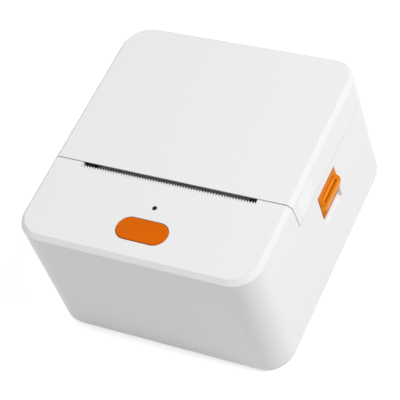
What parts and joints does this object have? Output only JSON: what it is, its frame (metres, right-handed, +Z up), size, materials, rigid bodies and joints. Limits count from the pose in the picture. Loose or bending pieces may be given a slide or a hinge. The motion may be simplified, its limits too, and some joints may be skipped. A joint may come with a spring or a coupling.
{
  "type": "thermal label printer",
  "caption": "Desktop thermal label printer: white case with a bevelled top edge, flip-up lid over the label roll, top paper slot with tear bar, orange feed button and two side latches.",
  "frame": {"origin": "on the table, under the middle of the case", "axes": "+X to the printer's right, +Y to its rear, +Z up; the feed button is towards -Y"},
  "size_m": [0.122, 0.126, 0.0709],
  "materials": {
    "shell_white": "fine matte white ABS",
    "accent_orange": "satin orange",
    "dark_plastic": "matte",
    "lamp_lens": "smoked, gloss",
    "feet_rubber": "matte",
    "roller_rubber": "ground, matte",
    "steel": "plated, satin",
    "aluminium": "extruded",
    "ceramic": "glazed ceramic",
    "gear_plastic": "acetal",
    "brass": "machined brass",
    "board_green": "solder mask",
    "chip_black": "moulded",
    "film": "polyimide film",
    "led": "epoxy"
  },
  "bodies": {
    "housing": {"main_housing": "shell_white", "base_plate": "shell_white", "rubber_feet": "feet_rubber", "base_screws": "steel", "roll_tray": "dark_plastic", "mechanism_frame": "steel", "frame_screws": "steel", "tear_bar": "shell_white", "light_pipe": "lamp_lens", "button_board": "board_green", "tact_switch": "dark_plastic", "status_led": "led", "main_board": "board_green", "main_board_parts": "chip_black", "port_board": "board_green", "power_socket": "dark_plastic", "usb_socket": "steel", "stepper_motor": "steel", "motor_screws": "steel", "gear_studs": "steel", "spring_plate": "steel", "head_pin": "steel", "head_springs": "steel", "head_ribbon": "film", "media_guide": "dark_plastic", "label_sensor": "dark_plastic", "lid_sensor": "dark_plastic", "hinge_rod": "steel", "latch_pins": "steel", "latch_spring_left": "steel", "latch_spring_right": "steel"},
    "lid": {"lid_shell": "shell_white", "lid_liner": "dark_plastic", "liner_screws": "steel", "platen_bushings": "dark_plastic"},
    "platen": {"platen_rubber": "roller_rubber", "platen_shaft": "steel", "platen_gear": "gear_plastic"},
    "idler": {"idler_gear": "gear_plastic"},
    "reduction": {"reduction_gear": "gear_plastic"},
    "motor_rotor": {"motor_shaft": "steel", "motor_pinion": "brass"},
    "print_head": {"head_heat_sink": "aluminium", "thermal_head": "ceramic", "head_driver_cover": "dark_plastic"},
    "guide_left": {"roll_guide_left": "gear_plastic", "guide_rack_left": "gear_plastic"},
    "guide_right": {"roll_guide_right": "gear_plastic", "guide_rack_right": "gear_plastic"},
    "pinion": {"guide_pinion": "gear_plastic"},
    "latch_left": {"latch_left": "accent_orange"},
    "latch_right": {"latch_right": "accent_orange"},
    "button": {"feed_button": "accent_orange", "switch_plunger": "gear_plastic"}
  },
  "joints": [
    {"name": "lid_hinge", "type": "hinge", "parent": "housing", "child": "lid", "pos_m": [0, 0.058, 0.0545], "axis": [-1, 0, 0], "range_deg": [0, 90]},
    {"name": "platen_spin", "type": "hinge", "parent": "lid", "child": "platen", "pos_m": [0, -0.0145, 0.0617], "axis": [1, 0, 0], "continuous": true},
    {"name": "idler_spin", "type": "hinge", "parent": "housing", "child": "idler", "pos_m": [-0.0465, -0.0145, 0.0514], "axis": [1, 0, 0], "continuous": true},
    {"name": "reduction_spin", "type": "hinge", "parent": "housing", "child": "reduction", "pos_m": [-0.0476, -0.01928, 0.04313], "axis": [1, 0, 0], "continuous": true},
    {"name": "motor_spin", "type": "hinge", "parent": "housing", "child": "motor_rotor", "pos_m": [-0.0487, -0.02294, 0.03113], "axis": [1, 0, 0], "continuous": true},
    {"name": "print_head_pivot", "type": "hinge", "parent": "housing", "child": "print_head", "pos_m": [0, -0.0238, 0.0517], "axis": [1, 0, 0], "range_deg": [0, 3], "stiffness_Nm_per_rad": 2, "springref_deg": -5.73, "deforming": ["head_springs"]},
    {"name": "guide_left_slide", "type": "slide", "parent": "housing", "child": "guide_left", "axis": [1, 0, 0], "range_m": [0, 0.028]},
    {"name": "guide_right_slide", "type": "slide", "parent": "housing", "child": "guide_right", "axis": [-1, 0, 0], "range_m": [0, 0.028]},
    {"name": "guide_pinion_spin", "type": "hinge", "parent": "housing", "child": "pinion", "pos_m": [0, 0.024, 0.0094], "axis": [0, 0, 1], "range_deg": [0, 230]},
    {"name": "latch_left_pivot", "type": "hinge", "parent": "housing", "child": "latch_left", "pos_m": [-0.057, 0.0094, 0.0475], "axis": [0, 1, 0], "range_deg": [0, 8], "stiffness_Nm_per_rad": 0.35, "springref_deg": -8.59, "deforming": ["latch_spring_left"]},
    {"name": "latch_right_pivot", "type": "hinge", "parent": "housing", "child": "latch_right", "pos_m": [0.057, 0.0094, 0.0475], "axis": [0, -1, 0], "range_deg": [0, 8], "stiffness_Nm_per_rad": 0.35, "springref_deg": -8.59, "deforming": ["latch_spring_right"]},
    {"name": "feed_button_press", "type": "slide", "parent": "housing", "child": "button", "axis": [0, 0, -1], "range_m": [0, 0.0008], "stiffness_N_per_m": 1800, "springref_m": -0.0003}
  ],
  "couplings": [
    {"joint": "idler_spin", "follows": "platen_spin", "ratio": -0.70833},
    {"joint": "reduction_spin", "follows": "platen_spin", "ratio": 1.2143},
    {"joint": "motor_spin", "follows": "platen_spin", "ratio": -3.1224},
    {"joint": "guide_right_slide", "follows": "guide_left_slide", "ratio": 1},
    {"joint": "guide_pinion_spin", "follows": "guide_left_slide", "rad_per_m": 142.86}
  ]
}
